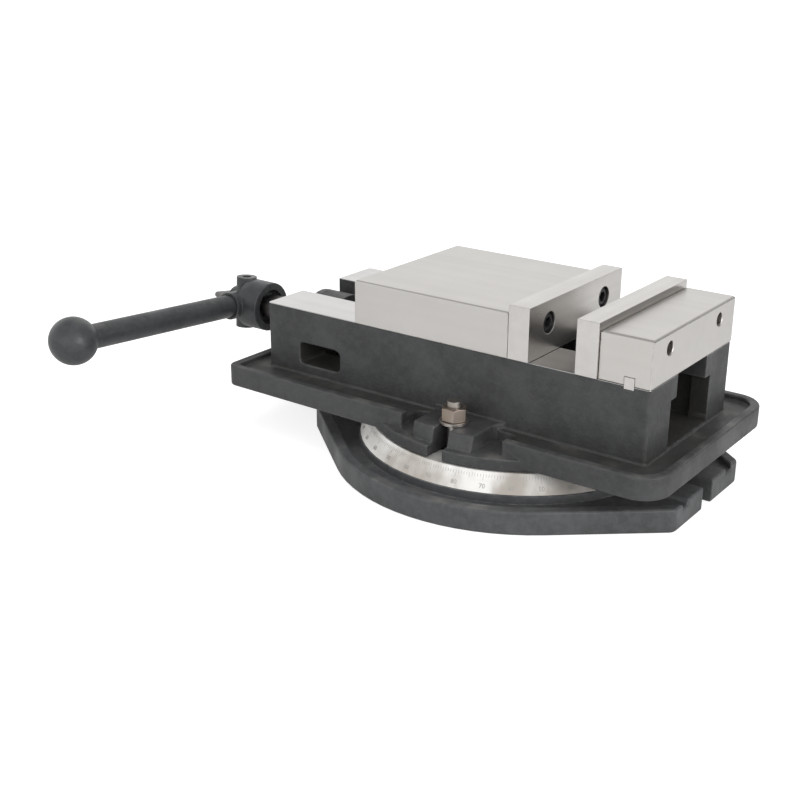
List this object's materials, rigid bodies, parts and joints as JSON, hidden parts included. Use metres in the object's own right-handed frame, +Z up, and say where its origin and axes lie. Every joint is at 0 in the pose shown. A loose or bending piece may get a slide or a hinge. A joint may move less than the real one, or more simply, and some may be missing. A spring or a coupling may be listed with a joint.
{
  "type": "milling machine vise",
  "caption": "Precision milling vise with ground jaws and hard jaw plates on a long bed with a coolant trough, on a graduated swivel base, worked by a screw with a ball-ended crank.",
  "frame": {"origin": "on the swivel axis, in the plane of the base's underside", "axes": "+X from the crank past the movable jaw to the fixed jaw, +Y across the vise, +Z up along the swivel axis"},
  "size_m": [0.54, 0.3966, 0.1593],
  "materials": {
    "base_casting": "dark grey machine enamel on cast iron, with a bright turned and graduated ring",
    "bed_casting": "dark grey machine enamel on cast iron, with ground bright rails",
    "ground_iron": "surface ground, light warm grey",
    "jaw_plates": "hardened and ground",
    "machined_steel": "turned bare steel",
    "clamp_bolts": "bare steel, slightly brown",
    "clamp_nuts": "brownish bare steel",
    "black_screws": "black oxide",
    "crank_paint": "dark grey paint on rough cast iron"
  },
  "bodies": {
    "base": {"swivel_base": "base_casting"},
    "bed": {"vise_bed": "bed_casting", "fixed_jaw": "ground_iron", "fixed_jaw_key": "jaw_plates", "fixed_jaw_plate": "jaw_plates", "fixed_plate_screw_near": "black_screws", "fixed_plate_screw_far": "black_screws", "hold_down_bolt_near": "black_screws", "hold_down_bolt_far": "black_screws", "bearing_cover": "bed_casting", "cover_screw_1": "black_screws", "cover_screw_2": "black_screws", "cover_screw_3": "black_screws", "thrust_washer_outer": "machined_steel", "thrust_ball_cage": "machined_steel", "clamp_bolt_near": "clamp_bolts", "clamp_bolt_far": "clamp_bolts", "clamp_washer_near": "clamp_bolts", "clamp_washer_far": "clamp_bolts", "clamp_nut_near": "clamp_nuts", "clamp_nut_far": "clamp_nuts"},
    "jaw": {"movable_jaw": "ground_iron", "movable_jaw_plate": "jaw_plates", "movable_plate_screw_near": "black_screws", "movable_plate_screw_far": "black_screws", "jaw_set_screw": "black_screws", "jaw_segment": "machined_steel", "screw_nut": "machined_steel"},
    "screw": {"lead_screw": "machined_steel", "thrust_washer_inner": "machined_steel", "retaining_collar": "machined_steel", "collar_set_screw": "black_screws", "crank_hub": "crank_paint", "crank_bar": "crank_paint", "crank_ball": "crank_paint", "hub_set_screw": "black_screws"}
  },
  "joints": [
    {"name": "swivel", "type": "hinge", "parent": "base", "child": "bed", "pos_m": [0, 0, 0], "axis": [0, 0, 1], "continuous": true},
    {"name": "screw_spin", "type": "hinge", "parent": "bed", "child": "screw", "pos_m": [0, 0, 0.0806], "axis": [1, 0, 0], "range_deg": [-7860, 2880]},
    {"name": "jaw_slide", "type": "slide", "parent": "bed", "child": "jaw", "axis": [1, 0, 0], "range_m": [-0.111, 0.0407]}
  ],
  "couplings": [
    {"joint": "jaw_slide", "follows": "screw_spin", "m_per_rad": 0.00080851}
  ]
}
